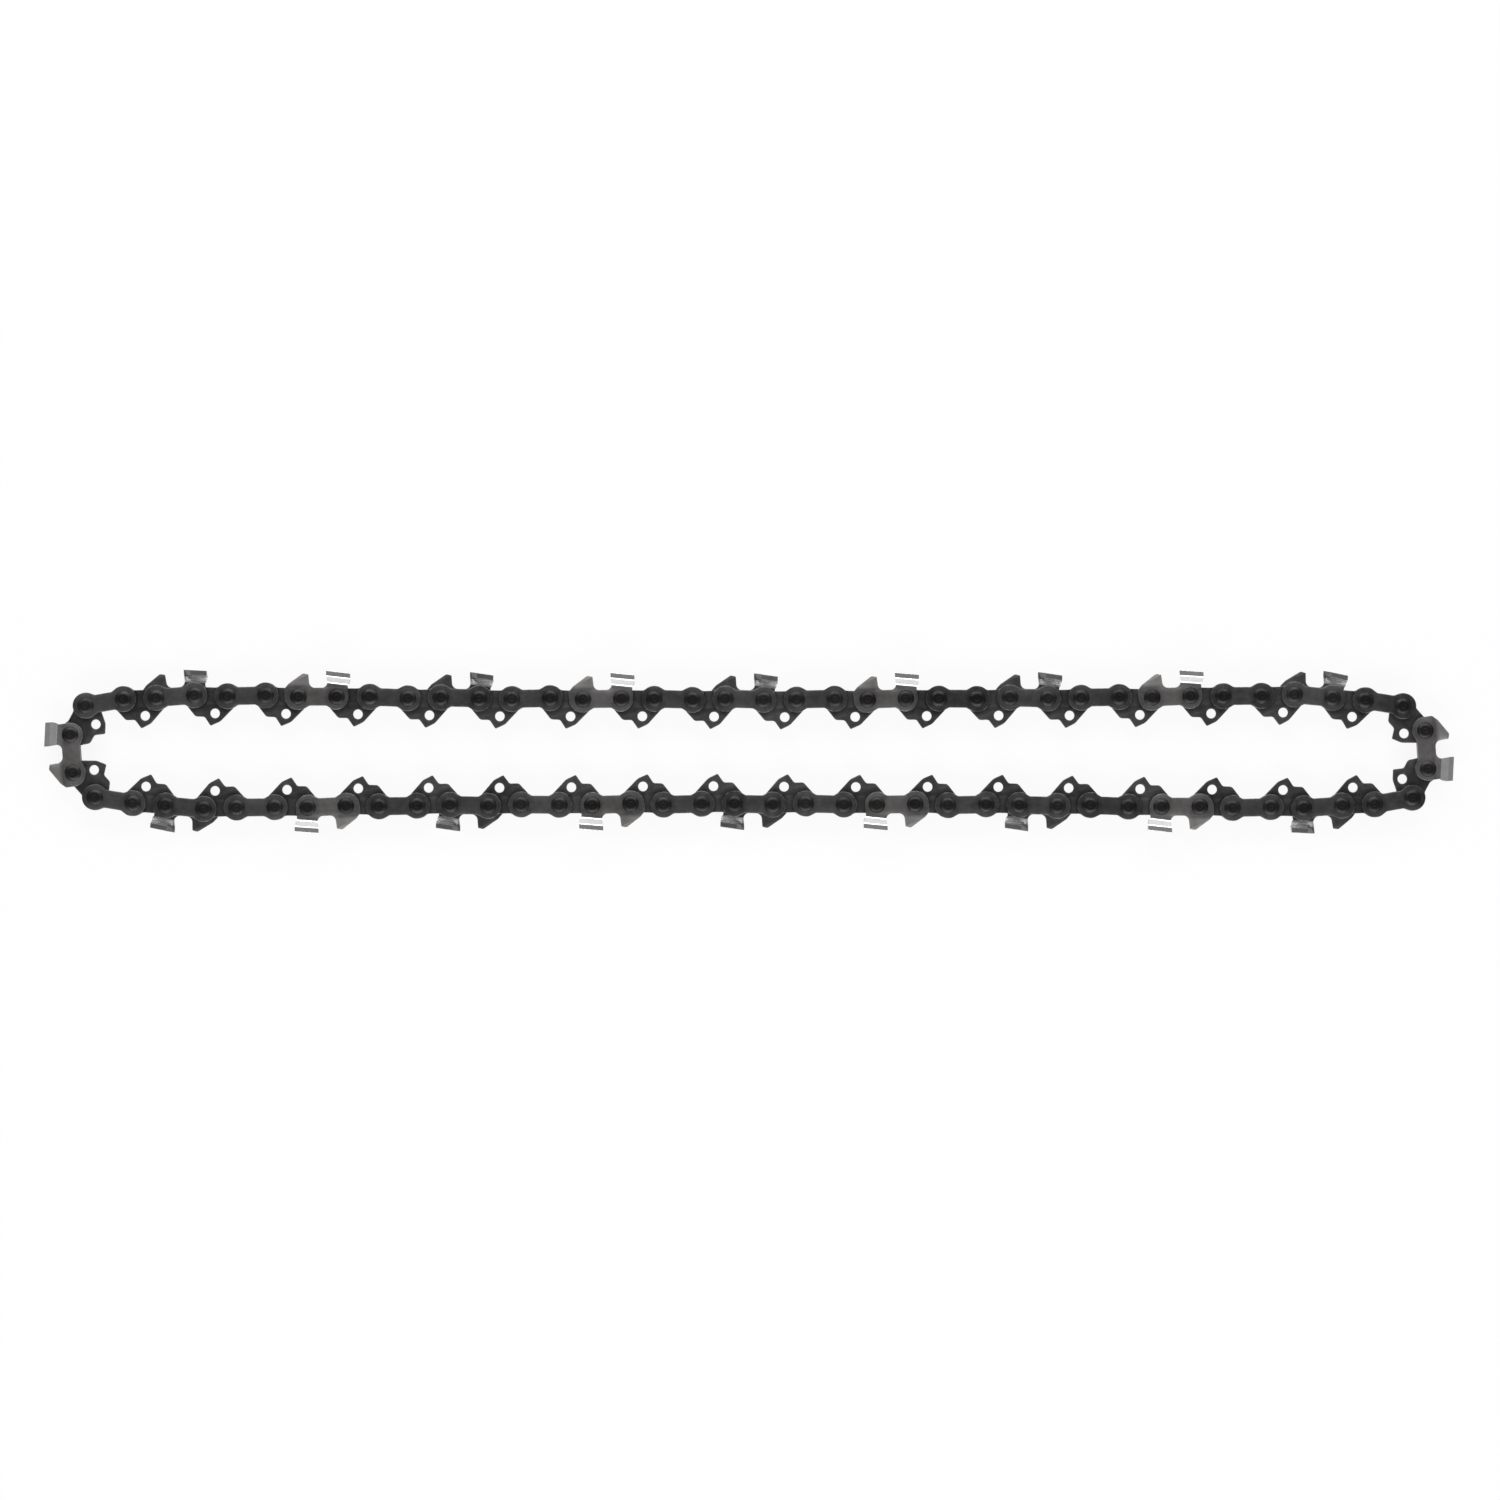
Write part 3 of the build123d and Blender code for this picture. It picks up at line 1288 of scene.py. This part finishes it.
@dataclass
class ChainLoop:
    """The whole loop: templates, layout and one piece for each moving body."""

    sizes: ChainSizes
    finishes: ChainFinishes

    def templates(self) -> dict[str, Object]:
        """Makes the templates of the links.

        Returns:
            Templates by name.
        """
        strap = Strap(self.sizes)
        cutter = Cutter(self.sizes, strap)
        rivet = Rivet(self.sizes).mesh()
        marks = rivet.attributes.new(Zone.RIVET.value, "BOOLEAN", "FACE")
        marks.data.foreach_set("value", [True] * len(rivet.polygons))
        return {
            "drive": template(DriveLink(self.sizes).mesh()),
            "tie": template(strap.pair()),
            "left": template(cutter.plates(False)),
            "right": template(cutter.plates(True)),
            "rivet": template(rivet),
        }

    def build(self) -> list[Object]:
        """Builds the pieces, each in place of its solid and riding on its body.

        Returns:
            The pieces.
        """
        bars = LoopLayout(self.sizes).bars()
        found = self.templates()
        shared = {"Drive Link": found["drive"], "Rivet": found["rivet"]}
        setter = LinkSetter(self.sizes, self.finishes)
        step = len(BarKind)
        pieces = []
        for unit in range(len(bars) // step):
            cutter, behind, tie, drive = bars[step * unit: step * (unit + 1)]
            hand = "right" if unit % 2 else "left"
            groups = (
                (f"{hand}_cutter_{unit // 2 + 1:02d}", [cutter, behind], hand, "cutter_steel"),
                (f"tie_link_{unit + 1:02d}", [tie], "tie", "link_steel"),
                (f"drive_link_{unit + 1:02d}", [drive], "tie", "link_steel"),
            )
            for node, held, plates, slot in groups:
                parts = {"Side Plates": found[plates], **shared}
                piece = setter.build(f"{node}_steel", held, parts, SEED_STEP * len(pieces))
                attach(piece, node)
                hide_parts(node)
                pieces.append(piece)
                LOG.info("%s: %d faces", piece.name, len(piece.data.polygons))
        for obj in found.values():
            bpy.data.batch_remove((obj, obj.data))
        return pieces


@dataclass(frozen=True)
class Studio:
    """Pale floor, soft light and a camera that looks straight down, as the photograph does.

    Lengths are in metres, and in millimetres for lens and sensor.
    """

    frame_width: float = 0.3937
    frame_offset: Point = (0.00024, 0.00044)
    lens: float = 200.0
    sensor: float = 36.0
    clip_end: float = 20.0
    floor_size: float = 6.0
    floor_tone: float = 0.9
    floor_glow: float = 0.91
    sky: float = 0.9
    sky_ends: float = 0.3
    sky_range: Point = (0.3, 0.75)
    zenith: float = 0.22
    zenith_range: Point = (0.72, 0.97)
    side_light: float = 3.0
    box_length: float = 0.9
    box_width: float = 0.25
    box_out: float = 0.55
    box_up: float = 0.42

    def floor(self) -> None:
        """Floor that shows white to the camera and to glossy steel, and keeps a soft shadow."""
        half = self.floor_size / 2
        corners = [(-half, -half, 0), (half, -half, 0), (half, half, 0), (-half, half, 0)]
        mesh = bpy.data.meshes.new("floor")
        mesh.from_pydata(corners, [], [(0, 1, 2, 3)])
        material = bpy.data.materials.new("floor")
        graph = ShaderGraph(material)
        matt = graph.node("ShaderNodeBsdfDiffuse", {}, {"Color": grey(self.floor_tone)})
        glow = graph.node("ShaderNodeEmission", {}, {"Color": grey(1.0), "Strength": 1.0})
        rays = ("Is Camera Ray", "Is Glossy Ray", "Is Transmission Ray")
        seen, mirrored, through = (graph.node("ShaderNodeLightPath", {}, {}, ray) for ray in rays)
        share = (seen + mirrored + through) * self.floor_glow
        graph.surface(graph.node("ShaderNodeMixShader", {}, {"Fac": share, 1: matt, 2: glow}))
        mesh.materials.append(material)
        in_scene("floor", mesh)

    def world(self) -> None:
        """Sky that is bright beside both runs, dimmer past the ends and dim round the camera."""
        world = bpy.data.worlds.new("studio")
        bpy.context.scene.world = world
        graph = ShaderGraph(world)
        _, across, up = graph.split(graph.node("ShaderNodeTexCoord", {}, {}, "Generated"))
        beside = across.size().between(*self.sky_range)
        level = self.sky_ends + beside * (self.sky - self.sky_ends)
        strength = level + up.between(*self.zenith_range) * (self.zenith - level)
        values = {"Color": grey(1.0), "Strength": strength}
        graph.surface(graph.node("ShaderNodeBackground", {}, values), "ShaderNodeOutputWorld")

    def lights(self) -> None:
        """Two long soft boxes beside the runs."""
        for side in (-1, 1):
            data = bpy.data.lights.new(f"soft_box_{'far' if side > 0 else 'near'}", "AREA")
            data.shape = "RECTANGLE"
            data.size = self.box_length
            data.size_y = self.box_width
            data.energy = self.side_light
            lamp = in_scene(data.name, data)
            lamp.location = (0, side * self.box_out, self.box_up)
            aim = Vector((0, 0, 0)) - lamp.location
            lamp.rotation_euler = aim.to_track_quat("-Z", "Y").to_euler()

    def camera(self) -> None:
        """Long lens over the middle of the loop."""
        data = bpy.data.cameras.new("camera")
        data.lens = self.lens
        data.sensor_width = self.sensor
        data.clip_end = self.clip_end
        camera = in_scene("camera", data)
        camera.location = (*self.frame_offset, self.frame_width * self.lens / self.sensor)
        bpy.context.scene.camera = camera

    def build(self) -> None:
        """Sets up floor, world, lights and camera."""
        self.floor()
        self.world()
        self.lights()
        self.camera()
        bpy.context.scene.view_settings.view_transform = "Standard"


def main() -> None:
    """Builds the loop and its studio."""
    logging.basicConfig(level=logging.INFO, format="%(name)s: %(message)s")
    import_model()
    pieces = ChainLoop(ChainSizes(), ChainFinishes()).build()
    Studio().build()


if __name__ == "__main__":
    main()
